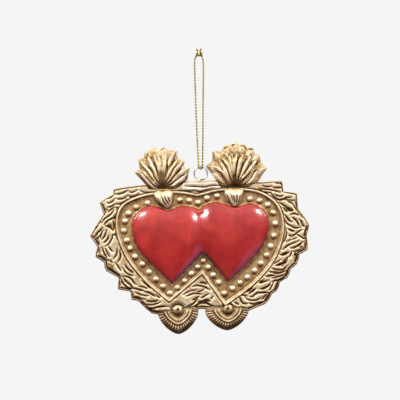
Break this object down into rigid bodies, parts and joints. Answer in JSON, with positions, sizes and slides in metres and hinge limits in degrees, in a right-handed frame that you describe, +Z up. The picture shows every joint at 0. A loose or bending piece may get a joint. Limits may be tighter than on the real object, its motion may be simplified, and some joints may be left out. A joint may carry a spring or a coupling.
{
  "type": "milagro heart ornament",
  "caption": "Hanging folk ornament: twin red enamel hearts in a beaded gilt field, leafy gilt border, flame fans above, shell drops below, on a jump ring and cord loop.",
  "frame": {"origin": "where a hook holds the top of the cord loop, inside its crown", "axes": "+Z up along the hanging cord, +X to the viewer's right, -Y towards the viewer, +Y out of the flat back"},
  "size_m": [0.1057, 0.0078, 0.1378],
  "materials": {
    "gilt_relief": "cast resin, antiqued gold lacquer, brown in the hollows",
    "gilt_highlight": "cast resin, gold lacquer rubbed bright on the high parts",
    "antique_field": "cast resin, gold lacquer darkened with brown patina",
    "antique_plate": "cast resin, thin gold lacquer, plain back",
    "red_enamel": "translucent red enamel, high gloss",
    "ring_wire": "plated round wire, slightly dulled",
    "lurex_cord": "twisted gold metallic thread with dark flecks"
  },
  "bodies": {
    "cord": {"hanging_cord": "lurex_cord", "cord_knot": "lurex_cord"},
    "ring": {"jump_ring": "ring_wire"},
    "ornament": {"backing_plate": "antique_plate", "band_top": "gilt_relief", "leaves_under_apex": "gilt_relief", "beaded_field": "antique_field", "heart_moulding": "gilt_highlight", "leaf_border_left": "gilt_relief", "enamel_heart_left": "red_enamel", "flame_back_left": "gilt_relief", "flame_front_left": "gilt_highlight", "small_heart_left": "gilt_highlight", "shell_drop_left": "gilt_relief", "boss_left": "gilt_highlight", "leaf_border_right": "gilt_relief", "enamel_heart_right": "red_enamel", "flame_back_right": "gilt_relief", "flame_front_right": "gilt_highlight", "small_heart_right": "gilt_highlight", "shell_drop_right": "gilt_relief", "boss_right": "gilt_highlight", "hanging_eye": "gilt_relief"}
  },
  "joints": [
    {"name": "ring_swing", "type": "hinge", "parent": "cord", "child": "ring", "pos_m": [0, 0, -0.05215], "axis": [1, 0, 0], "range_deg": [-70, 70]},
    {"name": "ornament_swing", "type": "hinge", "parent": "ring", "child": "ornament", "pos_m": [-0.001, 0, -0.05825], "axis": [1, 0, 0], "range_deg": [-100, 90]}
  ]
}
